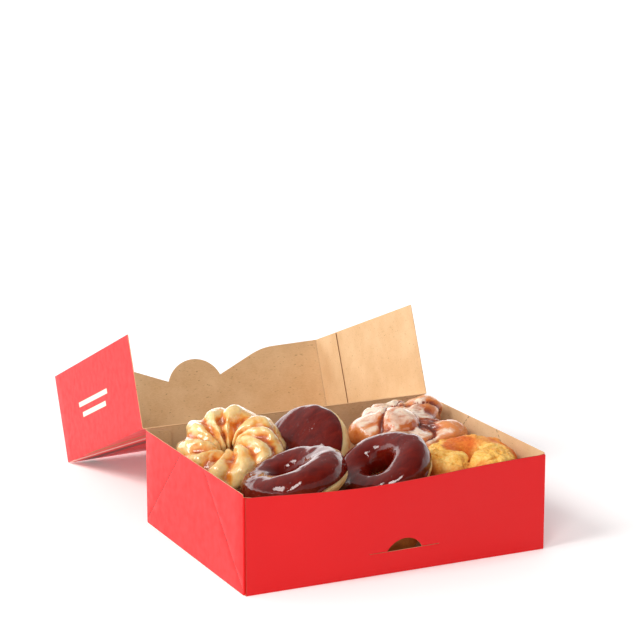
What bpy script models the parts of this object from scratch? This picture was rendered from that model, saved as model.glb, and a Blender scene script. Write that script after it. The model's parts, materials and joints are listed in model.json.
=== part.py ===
"""An open paperboard bakery box full of doughnuts, in metres with Z up.

The origin is the centre of the box's underside. X runs along the front wall, Y runs from the
front to the back wall, and the lid is folded back over the back wall until it rests on the
ground. Six doughnuts show at the top and six plain ones below carry them.
"""

import math
import random

import bmesh
import bpy
from mathutils import Matrix, Vector, noise
from mathutils.bvhtree import BVHTree

# The box: outer sizes of the base and the thickness of its board
WIDTH = 0.254
DEPTH = 0.198
HEIGHT = 0.077
BOARD = 0.0006
GAP = 0.0003

# Glue tabs at the four corners of the base and the two far corners of the lid
TAB_REACH = 0.022
LID_TAB_REACH = 0.046
TAB_DROP = 0.0025

# The slot in the front wall: a slit that takes the lid's tongue, under a thumb hole
SLOT_X = 0.0024
SLIT_WIDTH = 0.0594
SLIT_HEIGHT = 0.0012
SLIT_Z = 0.0184
THUMB_CHORD = 0.0296
THUMB_RISE = 0.0089

# The lid: a tray as deep as the base that would close over it from outside
HINGE_Y = DEPTH / 2 + 0.0001
HINGE_Z = HEIGHT + 0.0006
LID_HALF = WIDTH / 2 + 0.001 + BOARD / 2
LID_LENGTH = DEPTH + 0.0014
FLAP_HEIGHT = 0.077
LID_TWIST = 0.0072
FLOOR_CLEARANCE = 0.0001
LID_FALL = math.asin((HINGE_Z - BOARD / 2 - FLOOR_CLEARANCE) / (LID_LENGTH + BOARD / 2))

# The lid's front flap: rounded shoulders, sloping edges and a round tongue
TONGUE_X = 0.002
TONGUE_RADIUS = 0.027
TONGUE_HALF = 0.02525
TONGUE_BASE = 0.0578
SHOULDER = 0.070
SHOULDER_ROUNDING = 0.005

# The food: chocolate thickness, and the room that soft doughnuts keep where they press
ICING = 0.0016
BARE_DEPTH = 0.0008
PRESSED_GAP = 0.0006
WALL_ROOM = BOARD + 0.0005
LOWER_ROOM = 0.0012

# How the loaded front wall bellies out, and how its top edge sags below the other walls'
FRONT_BOW = 0.0080
FRONT_SAG = 0.0026
FRONT_DROP = (0.0022, 0.0008)
BELLY = 1.9
BOW_PEAK = 0.756
WALL_COLUMNS = 14
WALL_ROWS = 4

# Meshes of the doughnuts: steps round each ring, lines of the section, and how many are iced
RING_AROUND = 36
RING_LINES = 12
RING_ICED = 7
ROUND_AROUND = 32
ROUND_LINES = 9
ROUND_ICED = 6
EDGE_STEP = 0.15
SHARP_ANGLE = math.radians(50)

# The cruller: a ridged rope, wound round itself on its way round the ring. Each lump has its own
# size, from the box's right side anticlockwise, and some reach further into the hole
CRULLER_TURNS = 5
CRULLER_RIDGES = 2
CRULLER_GROOVE = 0.0085
CRULLER_LUMPS = (0.92, 0.90, 1.16, 1.12, 0.98, 0.96, 0.84, 1.02, 1.10, 1.04)
CRULLER_INWARD = (0.0018, 0.0020, 0.0012, 0, -0.0020, -0.0030, -0.0015, 0, 0, 0.0010)
CRULLER_AROUND = 70
CRULLER_LINES = 20

# The old-fashioned: a split round the top, petals beside it and one notch across
CAKE_SPLIT = math.radians(58)
CAKE_SPLIT_WIDTH = 0.20
CAKE_SPLIT_DEPTH = 0.0046
CAKE_PETAL = 0.0016
CAKE_NOTCH = math.radians(-122)
CAKE_NOTCH_WIDTH = 0.26
CAKE_NOTCH_DEPTH = 0.0075
CAKE_SQUARENESS = 0.70
CAKE_AROUND = 44
CAKE_SECTIONS = (-62, -28, 4, 28, 46, 58, 70, 88, 112, 140, 175, 212, 246, 275)

# The fritter: centre and radius of each lump, from the fritter's own centre
FRITTER_FLATNESS = 0.78
FRITTER_CORE = 0.012
FRITTER_SHARPNESS = 900
FRITTER_LUMPS = (
    (-0.008, 0.000, 0.003, 0.0200),
    (-0.028, 0.008, -0.001, 0.0180),
    (-0.025, -0.018, -0.007, 0.0150),
    (-0.010, 0.024, -0.001, 0.0180),
    (0.010, 0.029, 0.001, 0.0140),
    (0.029, 0.020, 0.002, 0.0170),
    (0.000, -0.024, -0.007, 0.0165),
    (0.029, -0.023, -0.002, 0.0165),
    (0.033, -0.004, -0.012, 0.0120),
    (0.012, 0.004, -0.003, 0.0180),
    (0.014, -0.014, -0.010, 0.0160),
)

# The plain doughnuts of the lower layer
LOWER_RADIUS = 0.0410
LOWER_HALF_HEIGHT = 0.0180
LOWER_AROUND = 22
LOWER_LINES = 7
LOWEST_TOP = 0.008

# Each doughnut of the upper layer: centre from the box's front left bottom corner, tilt in
# degrees, and the azimuth in degrees that its face leans towards
LEFT_RING = ((0.0635, 0.0520, 0.0645), 18, 166)
MIDDLE_RING = ((0.1420, 0.0550, 0.0605), 34, 192)
FILLED = ((0.1135, 0.1335, 0.0590), 53, 203)
CRULLER = ((0.0470, 0.1340, 0.0690), 24, 224)
FRITTER = ((0.2030, 0.1380, 0.0690), 8, 235)
OLD_FASHIONED = ((0.2145, 0.0480, 0.0600), 6, 215)

# Their sizes: middle radius, half width and half height of each ring, and of the filled one
LEFT_SIZE = (0.0268, 0.0162, 0.0170)
MIDDLE_SIZE = (0.0246, 0.0160, 0.0175)
FILLED_SIZE = (0.0425, 0.0200)
CRULLER_SIZE = (0.0255, 0.0195, 0.0190)
OLD_FASHIONED_SIZE = (0.0215, 0.0155, 0.0165)


def clear_scene():
    for thing in list(bpy.data.objects):
        bpy.data.objects.remove(thing, do_unlink=True)


def material(name, colour, roughness):
    made = bpy.data.materials.new(name)
    made.use_nodes = True
    shader = made.node_tree.nodes["Principled BSDF"]
    shader.inputs["Base Color"].default_value = (*colour, 1.0)
    shader.inputs["Roughness"].default_value = roughness
    shader.inputs["Metallic"].default_value = 0.0
    return made


def link(name, bm, look, place=None):
    """Turn a bmesh into a named object at its place, with closed normals pointing out."""
    bmesh.ops.recalc_face_normals(bm, faces=bm.faces)
    mesh = bpy.data.meshes.new(name)
    bm.to_mesh(mesh)
    bm.free()
    made = bpy.data.objects.new(name, mesh)
    bpy.context.scene.collection.objects.link(made)
    mesh.materials.append(look)
    if place is not None:
        made.location = place.to_translation()
        made.rotation_euler = place.to_euler()
    return made


def helper(name, bm, place=None):
    """A hidden solid that a Boolean joins to a piece or cuts out of it."""
    made = link(name, bm, HELPER_LOOK, place)
    made.hide_render = True
    made.display_type = "WIRE"
    return made


def solidify(thing, offset):
    wall = thing.modifiers.new("board", "SOLIDIFY")
    wall.thickness = BOARD
    wall.offset = offset
    wall.use_even_offset = True


def boolean(thing, other, operation):
    joint = thing.modifiers.new(other.name, "BOOLEAN")
    joint.operation = operation
    joint.solver = "EXACT"
    joint.object = other


def block(low, high):
    bm = bmesh.new()
    bmesh.ops.create_cube(bm, size=1.0)
    middle = (Vector(low) + Vector(high)) / 2
    span = Vector(high) - Vector(low)
    bmesh.ops.scale(bm, vec=span, verts=bm.verts)
    bmesh.ops.translate(bm, vec=middle, verts=bm.verts)
    return bm


# The box base


def slot_outline():
    """Half-moon thumb hole standing on the long slit, anticlockwise in X and Z."""
    radius = (THUMB_CHORD**2 / 4 + THUMB_RISE**2) / (2 * THUMB_RISE)
    half_angle = math.asin(THUMB_CHORD / 2 / radius)
    centre_z = SLIT_Z + SLIT_HEIGHT + THUMB_RISE - radius
    points = [(-SLIT_WIDTH / 2, SLIT_Z), (SLIT_WIDTH / 2, SLIT_Z)]
    points.append((SLIT_WIDTH / 2, SLIT_Z + SLIT_HEIGHT))
    steps = 10
    for step in range(steps + 1):
        angle = half_angle * (1 - 2 * step / steps)
        points.append((radius * math.sin(angle), centre_z + radius * math.cos(angle)))
    points.append((-SLIT_WIDTH / 2, SLIT_Z + SLIT_HEIGHT))
    return points


def slot_cutter():
    bm = bmesh.new()
    front = -DEPTH / 2 - FRONT_BOW - 0.002
    verts = [bm.verts.new((SLOT_X + x, front, z)) for x, z in slot_outline()]
    face = bm.faces.new(verts)
    pulled = bmesh.ops.extrude_face_region(bm, geom=[face], use_keep_orig=True)
    moved = [item for item in pulled["geom"] if isinstance(item, bmesh.types.BMVert)]
    bmesh.ops.translate(bm, vec=(0, FRONT_BOW + 0.005, 0), verts=moved)
    return helper("slot_cutter", bm)


def front_share(x):
    """0 at the front wall's ends, 1 where it bellies out most, left of its middle."""
    across = min(max(x / WIDTH + 0.5, 0), 1)
    return math.sin(math.pi * across**BOW_PEAK) ** 2


def front_bow(x, z):
    return FRONT_BOW * front_share(x) * math.sin(BELLY * min(z / HEIGHT, 1))


def front_top(x):
    """How far the front wall's top edge lies below the other walls' at this place."""
    across = x / WIDTH + 0.5
    left, right = FRONT_DROP
    return left + (right - left) * across + FRONT_SAG * front_share(x)


def bulge(bm):
    """Belly out the front wall, and lower its top edge."""
    for vert in bm.verts:
        x, y, z = vert.co
        if y < 3 * BOARD - DEPTH / 2:
            vert.co.y -= front_bow(x, z)
            vert.co.z -= front_top(x) * z / HEIGHT


def slice_faces(bm, faces, axis, places):
    """Cut flat faces along lines square to an axis, so that they can be bent."""
    normal = Vector([1 if number == axis else 0 for number in range(3)])
    for place in places:
        edges = {edge for face in faces for edge in face.edges}
        verts = {vert for face in faces for vert in face.verts}
        cut = bmesh.ops.bisect_plane(
            bm, geom=[*faces, *edges, *verts], plane_co=normal * place, plane_no=normal
        )
        faces = [item for item in cut["geom"] if isinstance(item, bmesh.types.BMFace)]
    return faces


def steps_between(low, high, count):
    return [low + (high - low) * step / count for step in range(1, count)]


def make_base():
    bm = block((-WIDTH / 2, -DEPTH / 2, 0), (WIDTH / 2, DEPTH / 2, HEIGHT))
    top = [face for face in bm.faces if face.normal.z > 0.9]
    bmesh.ops.delete(bm, geom=top, context="FACES")
    front = [face for face in bm.faces if face.normal.y < -0.9]
    front = slice_faces(bm, front, 0, steps_between(-WIDTH / 2, WIDTH / 2, WALL_COLUMNS))
    slice_faces(bm, front, 2, steps_between(0, HEIGHT, WALL_ROWS))
    bulge(bm)
    base = link("box_base", bm, RED_BOARD)
    solidify(base, -1.0)
    for side in (-1, 1):
        for end in (-1, 1):
            wall_x = side * (WIDTH / 2 - BOARD / 2)
            wall_y = end * (DEPTH / 2 - BOARD / 2)
            inner_x = side * (WIDTH / 2 - TAB_REACH)
            inner_y = end * (DEPTH / 2 - 2 * BOARD)
            low = (min(wall_x, inner_x), min(wall_y, inner_y), BOARD / 2)
            high = (max(wall_x, inner_x), max(wall_y, inner_y), HEIGHT - TAB_DROP)
            tab = block(low, high)
            if end < 0:
                slice_faces(tab, tab.faces[:], 0, steps_between(low[0], high[0], 4))
                slice_faces(tab, tab.faces[:], 2, steps_between(0, HEIGHT, WALL_ROWS))
                bulge(tab)
            boolean(base, helper("base_tab", tab), "UNION")
    boolean(base, slot_cutter(), "DIFFERENCE")
    return base


# The lid, in its own frame: X along the hinge, Y away from it, Z towards the flaps' edges


def flap_edge(x):
    """Height of the front flap's free edge."""
    out = abs(x - TONGUE_X)
    if out < TONGUE_HALF:
        centre = TONGUE_BASE - math.sqrt(TONGUE_RADIUS**2 - TONGUE_HALF**2)
        return centre + math.sqrt(TONGUE_RADIUS**2 - out**2)
    slope = (FLAP_HEIGHT - TONGUE_BASE) / (SHOULDER - TONGUE_HALF)
    rising = TONGUE_BASE + slope * (out - TONGUE_HALF)
    blend = max(SHOULDER_ROUNDING - abs(rising - FLAP_HEIGHT), 0) / SHOULDER_ROUNDING
    return min(rising, FLAP_HEIGHT) - blend**2 * SHOULDER_ROUNDING / 4


def lid_columns():
    """X of each upright line in the lid's mesh: close together where the flap's edge turns."""
    half = [TONGUE_HALF + 0.0002, (TONGUE_HALF + SHOULDER) / 2]
    half += [SHOULDER + 0.006 * step for step in range(-2, 3)]
    half += [0.103]
    tongue_angle = math.asin(TONGUE_HALF / TONGUE_RADIUS)
    steps = 12
    tongue = [
        TONGUE_X + TONGUE_RADIUS * math.sin(tongue_angle * (2 * step / steps - 1))
        for step in range(steps + 1)
    ]
    left = [TONGUE_X - out for out in reversed(half)]
    right = [TONGUE_X + out for out in half]
    return [-LID_HALF, *left, *tongue, *right, LID_HALF]


def lid_twist(x, y):
    """The board is racked, so the lid's far right corner stands a little off the ground."""
    return LID_TWIST * (x / (2 * LID_HALF) + 0.5) * (y / LID_LENGTH)


def lid_sheet():
    """The lid's middle surface: panel, two side flaps and the shaped front flap."""
    columns = lid_columns()
    rows = 4
    bm = bmesh.new()
    bmesh.ops.create_grid(bm, x_segments=len(columns) - 1, y_segments=rows, size=1.0)
    for vert in bm.verts:
        column = round((vert.co.x + 1) / 2 * (len(columns) - 1))
        vert.co.x = columns[column]
        vert.co.y = (vert.co.y + 1) / 2 * LID_LENGTH
    rim = [
        edge
        for edge in bm.edges
        if edge.is_boundary and max(vert.co.y for vert in edge.verts) > BOARD
    ]
    pulled = bmesh.ops.extrude_edge_only(bm, edges=rim)
    for vert in pulled["geom"]:
        if isinstance(vert, bmesh.types.BMVert):
            far = vert.co.y > LID_LENGTH - BOARD
            vert.co.z = flap_edge(vert.co.x) if far else FLAP_HEIGHT
    return bm


def twist(bm):
    for vert in bm.verts:
        vert.co.z += lid_twist(vert.co.x, vert.co.y)


def make_lid():
    place = Matrix.Translation((0, HINGE_Y, HINGE_Z)) @ Matrix.Rotation(-LID_FALL, 4, "X")
    bm = lid_sheet()
    twist(bm)
    lid = link("box_lid", bm, RED_BOARD, place)
    solidify(lid, 0.0)
    for side in (-1, 1):
        outer = side * LID_HALF
        inner = side * (LID_HALF - 1.5 * BOARD)
        low = (min(outer, inner), LID_LENGTH - LID_TAB_REACH, 0)
        high = (max(outer, inner), LID_LENGTH, FLAP_HEIGHT - TAB_DROP)
        tab = block(low, high)
        twist(tab)
        boolean(lid, helper("lid_tab", tab, place), "UNION")
    return lid


# Doughnut surfaces. Each form is a function of an angle round the ring and one round the section


def waves(seed, count=3):
    """A smooth closed wobble between about -1 and 1, drawn once from a seed."""
    draw = random.Random(seed)
    terms = []
    for order in range(1, count + 1):
        terms.append((order, draw.uniform(0, math.tau), draw.uniform(0.4, 1.0)))
    total = sum(size for _, _, size in terms)

    def wobble(turn):
        heights = (size * math.sin(order * turn + start) for order, start, size in terms)
        return sum(heights) / total

    return wobble


def rounded(value, power):
    return math.copysign(abs(value) ** power, value)


def ring_form(radius, half_width, half_height, seed, wobble=0.0012, power=0.9):
    """A raised ring: a squarish section swept round, a little uneven in width and height."""
    swell, lift, drift = waves(seed), waves(seed + 1), waves(seed + 2)

    def point(turn, section):
        reach = half_width * rounded(math.cos(section), power)
        rise = half_height * rounded(math.sin(section), power)
        out = radius + wobble * drift(turn) + reach * (1 + 0.05 * swell(turn))
        return Vector((out * math.cos(turn), out * math.sin(turn), rise + wobble * lift(turn)))

    return point


def between(values, turn):
    """Smooth value at an angle, from values spread evenly round the ring."""
    at = turn / math.tau * len(values)
    low = math.floor(at)
    share = (1 - math.cos(math.pi * (at - low))) / 2
    first = values[low % len(values)]
    return first + (values[(low + 1) % len(values)] - first) * share


def cruller_form(radius, half_width, half_height, seed):
    """A piped ring: soft lumps of uneven size wind round it, with deep grooves between them."""
    drift, lift, depth = waves(seed), waves(seed + 1), waves(seed + 2, 5)

    def point(turn, section):
        wound = section - CRULLER_TURNS * (turn + 0.05 * drift(turn))
        ridge = abs(math.cos(CRULLER_RIDGES * wound / 2)) ** 0.62
        groove = CRULLER_GROOVE * (1 + 0.35 * depth(turn)) * (1 - ridge)
        size = between(CRULLER_LUMPS, turn - (section - math.pi / 2) / CRULLER_TURNS)
        inward = between(CRULLER_INWARD, turn) * max(-math.cos(section), 0)
        width = half_width * (size if math.cos(section) > 0 else 1)
        reach = (width - groove) * math.cos(section) - inward
        rise = (half_height * size - groove) * math.sin(section)
        out = radius + reach
        return Vector((out * math.cos(turn), out * math.sin(turn), rise + 0.0012 * lift(turn)))

    return point


def cake_form(radius, half_width, half_height, seed):
    """A plain cake ring with a split round its top, jagged petals and one notch across it."""
    swell, lift, edge = waves(seed), waves(seed + 1), waves(seed + 2, 9)

    def point(turn, section):
        split = CAKE_SPLIT + 0.10 * edge(turn)
        away = (section - split) / CAKE_SPLIT_WIDTH
        cut = CAKE_SPLIT_DEPTH * math.exp(-away * away) * (1 + 0.4 * edge(turn * 2))
        beside = (section - split + 0.42) / 0.3
        petal = CAKE_PETAL * math.exp(-beside * beside) * (1 + edge(turn * 3))
        from_notch = math.remainder(turn - CAKE_NOTCH, math.tau) / CAKE_NOTCH_WIDTH
        notch = CAKE_NOTCH_DEPTH * math.exp(-from_notch * from_notch)
        reach = (half_width + petal - cut - notch) * rounded(math.cos(section), CAKE_SQUARENESS)
        rise = (half_height + petal - cut - notch) * rounded(math.sin(section), CAKE_SQUARENESS)
        out = radius + reach * (1 + 0.05 * swell(turn))
        return Vector((out * math.cos(turn), out * math.sin(turn), rise + 0.0012 * lift(turn)))

    return point


def round_form(radius, half_height, seed, wobble=0.001):
    """A filled doughnut without a hole: section runs from 0 at the top pole down to minus pi."""
    swell, lift = waves(seed), waves(seed + 1)

    def point(turn, section):
        level = abs(math.sin(section))
        out = radius * level**0.62 * (1 + 0.02 * swell(turn))
        rise = half_height * rounded(math.cos(section), 0.86) + wobble * lift(turn) * level
        return Vector((out * math.cos(turn), out * math.sin(turn), rise))

    return point


def outward(form, turn, section):
    """Unit normal of a form, from two short steps along it. A pole takes the axis instead."""
    step = 0.01
    round_ring = form(turn + step, section) - form(turn - step, section)
    round_section = form(turn, section + step) - form(turn, section - step)
    normal = round_ring.cross(round_section)
    if normal.length < 1e-9:
        return Vector((0, 0, math.copysign(1, form(turn, section).z)))
    return normal.normalized()


def place_of(centre, tilt, towards, spin=0.0):
    """Lay a doughnut at a centre, tilted by an angle with its face turned towards an azimuth."""
    lean = Matrix.Rotation(math.radians(tilt), 4, "Y")
    turned = Matrix.Rotation(math.radians(towards), 4, "Z")
    spun = Matrix.Rotation(math.radians(spin - towards), 4, "Z")
    corner = Vector((-WIDTH / 2, -DEPTH / 2, 0))
    return Matrix.Translation(corner + Vector(centre)) @ turned @ lean @ spun


# Soft contact: a doughnut gives way to the walls and to the doughnuts laid before it


def inside_box(point):
    """Move a point back between the walls and above the floor, clear of the glue tabs."""
    near_tab = abs(point.x) > WIDTH / 2 - TAB_REACH - 0.002
    half_width = WIDTH / 2 - WALL_ROOM
    half_depth = DEPTH / 2 - WALL_ROOM - (BOARD if near_tab else 0)
    point.z = max(point.z, WALL_ROOM)
    front = half_depth + front_bow(point.x, point.z)
    point.x = min(max(point.x, -half_width), half_width)
    point.y = min(max(point.y, -front), half_depth)
    return point


def within(skin, point):
    """Whether a point is inside a closed skin: a line out of it crosses an odd number of times."""
    way = Vector((0.11, 0.07, 1.0)).normalized()
    crossings = 0
    near, _, _, _ = skin.ray_cast(point, way)
    while near is not None:
        crossings += 1
        near, _, _, _ = skin.ray_cast(near + way * 1e-5, way)
    return crossings % 2 == 1


def pressed(point, neighbours, room):
    """Move a point out of every neighbour's skin, leaving some room, and off the walls."""
    for _ in range(2):
        for skin in neighbours:
            near, normal, _, distance = skin.find_nearest(point)
            if distance < room or within(skin, point):
                point = near + normal * room
    return inside_box(point)


def sunk(point, neighbours, room):
    """Lower a point until it lies under every doughnut that rests above it."""
    ceiling = HEIGHT
    for step_x, step_y in ((0, 0), (room, 0), (-room, 0), (0, room), (0, -room)):
        start = Vector((point.x + 1.5 * step_x, point.y + 1.5 * step_y, 0))
        for skin in neighbours:
            near, _, _, _ = skin.ray_cast(start, Vector((0, 0, 1)))
            if near is not None:
                ceiling = min(ceiling, near.z)
    point.z = min(point.z, max(ceiling - room, LOWEST_TOP))
    return inside_box(point)


def skin_of(bm, place):
    """Search tree of a doughnut's outer surface where it lies."""
    copy = bm.copy()
    bmesh.ops.transform(copy, matrix=place, verts=copy.verts)
    bmesh.ops.recalc_face_normals(copy, faces=copy.faces)
    tree = BVHTree.FromBMesh(copy)
    copy.free()
    return tree


def part_faces(bm, place, neighbours, downwards=False):
    """Nudge the faces that still cut into a neighbour away from it, until none does."""
    back = place.inverted()
    nudge = 0.0005
    for _ in range(40):
        tree = skin_of(bm, place)
        bm.faces.ensure_lookup_table()
        crossing = 0
        for skin in neighbours:
            hit = {pair[0] for pair in tree.overlap(skin)}
            crossing += len(hit)
            for vert in {vert for number in hit for vert in bm.faces[number].verts}:
                point = place @ vert.co
                normal = Vector((0, 0, -1)) if downwards else skin.find_nearest(point)[1]
                vert.co = back @ inside_box(point + normal * nudge)
        if not crossing:
            break
    return tree


# Nets: meshes that the forms bend. Each vertex keeps its turn and its line of the section


def add_layers(bm):
    for name in ("turn", "line", "inner"):
        bm.verts.layers.float.new(name)


def ring_net(around, lines):
    """A spun ring whose vertices remember their turn and the number of their line."""
    bm = bmesh.new()
    add_layers(bm)
    line = bm.verts.layers.float["line"]
    bmesh.ops.create_circle(bm, radius=1.0, segments=lines)
    for vert in bm.verts:
        vert[line] = round(math.atan2(vert.co.y, vert.co.x) / math.tau * lines) % lines
    bmesh.ops.rotate(bm, matrix=Matrix.Rotation(math.pi / 2, 3, "X"), verts=bm.verts)
    bmesh.ops.translate(bm, vec=(3, 0, 0), verts=bm.verts)
    section = bm.verts[:] + bm.edges[:]
    bmesh.ops.spin(bm, geom=section, axis=(0, 0, 1), angle=math.tau, steps=around, use_merge=True)
    turn = bm.verts.layers.float["turn"]
    for vert in bm.verts:
        vert[turn] = math.atan2(vert.co.y, vert.co.x)
    return bm


def round_net(around, lines):
    """A closed globe whose vertices remember their turn and the number of their line."""
    bm = bmesh.new()
    add_layers(bm)
    bmesh.ops.create_uvsphere(bm, u_segments=around, v_segments=lines, radius=1.0)
    turn = bm.verts.layers.float["turn"]
    line = bm.verts.layers.float["line"]
    for vert in bm.verts:
        vert[turn] = math.atan2(vert.co.y, vert.co.x)
        vert[line] = round(math.acos(max(-1, min(1, vert.co.z))) / math.pi * lines)
    return bm


def keep_iced(bm, iced):
    """Cut a net down to its iced lines and give that patch an inner face and side walls."""
    line = bm.verts.layers.float["line"]
    inner = bm.verts.layers.float["inner"]
    bare = []
    for face in bm.faces:
        numbers = [vert[line] for vert in face.verts]
        if max(numbers) > iced or max(numbers) - min(numbers) > 1:
            bare.append(face)
    bmesh.ops.delete(bm, geom=bare, context="FACES")
    pulled = bmesh.ops.extrude_face_region(bm, geom=bm.faces[:], use_keep_orig=True)
    for item in pulled["geom"]:
        if isinstance(item, bmesh.types.BMVert):
            item[inner] = 1


def key_of(turn, line):
    return round(turn, 3), round(line)


def mould(bm, form, section_of, place, neighbours=(), yield_to=pressed, room=PRESSED_GAP):
    """Lay a net on its form, clear of its neighbours. Returns its skin and every point on it."""
    turn = bm.verts.layers.float["turn"]
    line = bm.verts.layers.float["line"]
    back = place.inverted()
    for vert in bm.verts:
        point = form(vert[turn], section_of(vert[turn], vert[line]))
        vert.co = back @ yield_to(place @ point, neighbours, room)
    bmesh.ops.recalc_face_normals(bm, faces=bm.faces)
    skin = part_faces(bm, place, neighbours, downwards=yield_to is sunk)
    points = {key_of(vert[turn], vert[line]): vert.co.copy() for vert in bm.verts}
    return skin, points


def sink(bm, points, form, section_of, depth_of):
    """Lay a net under the moulded points, each vertex at its own depth."""
    turn = bm.verts.layers.float["turn"]
    line = bm.verts.layers.float["line"]
    inner = bm.verts.layers.float["inner"]
    for vert in bm.verts:
        normal = outward(form, vert[turn], section_of(vert[turn], vert[line]))
        depth = depth_of(vert[line], vert[inner])
        vert.co = points[key_of(vert[turn], vert[line])] - normal * depth


def shade(thing):
    thing.data.shade_smooth()
    thing.data.set_sharp_from_angle(angle=SHARP_ANGLE)


# Iced doughnuts: a dough body, sunk under the chocolate, and the chocolate itself as a shell


def iced_section(lines, iced, outer, inner_edge, seed):
    """Sections that follow the chocolate's wavy edges on a ring, then the bare dough below."""
    outer_wave, inner_wave = waves(seed + 5, 6), waves(seed + 6, 5)

    def section(turn, line):
        start = math.radians(outer) + 0.09 * outer_wave(turn)
        end = math.radians(inner_edge) + 0.07 * inner_wave(turn)
        if line <= iced:
            return start + (end - start) * line / iced
        share = (line - iced - 1) / (lines - iced - 2)
        return end + EDGE_STEP + (start + math.tau - end - 2 * EDGE_STEP) * share

    return section


def capped_section(lines, iced, edge, seed):
    """Sections from the top pole to the chocolate's wavy edge, then to the bottom pole."""
    wave = waves(seed + 5, 6)

    def section(turn, line):
        end = math.radians(edge) + 0.08 * wave(turn)
        if line <= iced:
            return -end * line / iced
        share = (line - iced - 1) / (lines - iced - 1)
        return -(end + EDGE_STEP + (math.pi - end - EDGE_STEP) * share)

    return section


def dough_depth(iced):
    return lambda line, inner: ICING + GAP if line <= iced else BARE_DEPTH


def icing_depth(edges):
    def depth(line, inner):
        if inner:
            return ICING
        return ICING * 0.5 if line in edges else 0.0

    return depth


def make_iced(name, net, lines, iced, edges, form, section, place, neighbours):
    """The dough and the chocolate of one dipped doughnut, and the skin that others press on."""
    outer = net(lines)
    skin, points = mould(outer, form, section, place, neighbours)
    outer.free()
    body = net(lines)
    sink(body, points, form, section, dough_depth(iced))
    shade(link(name + "_dough", body, RAISED_DOUGH, place))
    coat = net(lines)
    keep_iced(coat, iced)
    sink(coat, points, form, section, icing_depth(edges))
    shade(link(name + "_icing", coat, CHOCOLATE, place))
    return skin


def make_chocolate_ring(name, form, place, seed, neighbours, outer_edge=-6):
    section = iced_section(RING_LINES, RING_ICED, outer_edge, 192, seed)
    edges = (0, RING_ICED)
    net = lambda lines: ring_net(RING_AROUND, lines)
    return make_iced(name, net, RING_LINES, RING_ICED, edges, form, section, place, neighbours)


def make_filled(name, form, place, seed, neighbours):
    section = capped_section(ROUND_LINES, ROUND_ICED, 66, seed)
    net = lambda lines: round_net(ROUND_AROUND, lines)
    return make_iced(
        name, net, ROUND_LINES, ROUND_ICED, (ROUND_ICED,), form, section, place, neighbours
    )


# Doughnuts of one solid


def make_plain(name, bm, form, section, look, place, neighbours):
    skin, _ = mould(bm, form, section, place, neighbours)
    shade(link(name, bm, look, place))
    return skin


def make_cruller(place, neighbours):
    form = cruller_form(*CRULLER_SIZE, 31)
    section = lambda turn, line: math.tau * line / CRULLER_LINES
    bm = ring_net(CRULLER_AROUND, CRULLER_LINES)
    return make_plain("cruller", bm, form, section, GLAZED_CRUST, place, neighbours)


def make_old_fashioned(place, neighbours):
    form = cake_form(*OLD_FASHIONED_SIZE, 47)
    bm = ring_net(CAKE_AROUND, len(CAKE_SECTIONS))
    section = lambda turn, line: math.radians(CAKE_SECTIONS[round(line)])
    return make_plain("old_fashioned", bm, form, section, CAKE_CRUST, place, neighbours)


def fritter_reach(direction):
    """How far the fused lumps of the fritter reach from its centre in one direction."""
    flat = Vector((direction.x, direction.y, direction.z / FRITTER_FLATNESS)).normalized()
    reaches = [FRITTER_CORE]
    for x, y, z, radius in FRITTER_LUMPS:
        centre = Vector((x, y, z / FRITTER_FLATNESS))
        along = flat.dot(centre)
        aside = centre.length_squared - along**2
        if aside < radius**2:
            reaches.append(along + math.sqrt(radius**2 - aside))
    longest = max(reaches)
    blended = sum(math.exp(FRITTER_SHARPNESS * (reach - longest)) for reach in reaches)
    point = flat * (longest + math.log(blended) / FRITTER_SHARPNESS * 0.6)
    return Vector((point.x, point.y, point.z * FRITTER_FLATNESS))


def make_fritter(place, neighbours):
    bm = bmesh.new()
    bmesh.ops.create_icosphere(bm, subdivisions=4, radius=1.0)
    back = place.inverted()
    for vert in bm.verts:
        point = fritter_reach(vert.co.copy())
        bump = noise.noise(point * 95) * 0.0016 + noise.noise(point * 230) * 0.0006
        point += vert.co.normalized() * bump
        vert.co = back @ pressed(place @ point, neighbours, PRESSED_GAP)
    skin = part_faces(bm, place, neighbours)
    shade(link("fritter", bm, FRITTER_CRUST, place))
    return skin


def make_lower_layer(neighbours):
    """Six plain filled doughnuts on the floor, dented by the ones that lie on them."""
    section = lambda turn, line: -math.pi * line / LOWER_LINES
    for row in range(2):
        for column in range(3):
            number = row * 3 + column + 1
            across = WIDTH / 6 * (2 * column + 1)
            back = DEPTH / 4 * (2 * row + 1)
            form = round_form(LOWER_RADIUS, LOWER_HALF_HEIGHT, 60 + 4 * number)
            place = place_of((across, back, LOWER_HALF_HEIGHT + WALL_ROOM), 0, 0)
            bm = round_net(LOWER_AROUND, LOWER_LINES)
            name = f"lower_doughnut_{number}"
            mould(bm, form, section, place, neighbours, sunk, LOWER_ROOM)
            shade(link(name, bm, PLAIN_CRUST, place))


clear_scene()
HELPER_LOOK = material("helper", (0.5, 0.5, 0.5), 0.9)
RED_BOARD = material("red_board", (0.80, 0.05, 0.05), 0.55)
RAISED_DOUGH = material("raised_dough", (0.86, 0.60, 0.28), 0.60)
CHOCOLATE = material("chocolate", (0.16, 0.02, 0.01), 0.12)
GLAZED_CRUST = material("glazed_crust", (0.85, 0.50, 0.16), 0.30)
CAKE_CRUST = material("cake_crust", (0.80, 0.42, 0.12), 0.70)
FRITTER_CRUST = material("fritter_crust", (0.75, 0.45, 0.30), 0.35)
PLAIN_CRUST = material("plain_crust", (0.80, 0.48, 0.20), 0.55)

make_base()
make_lid()

left_place = place_of(*LEFT_RING)
middle_place = place_of(*MIDDLE_RING)
left_form = ring_form(*LEFT_SIZE, 11)
middle_form = ring_form(*MIDDLE_SIZE, 17)
filled_form = round_form(*FILLED_SIZE, 23)

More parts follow.
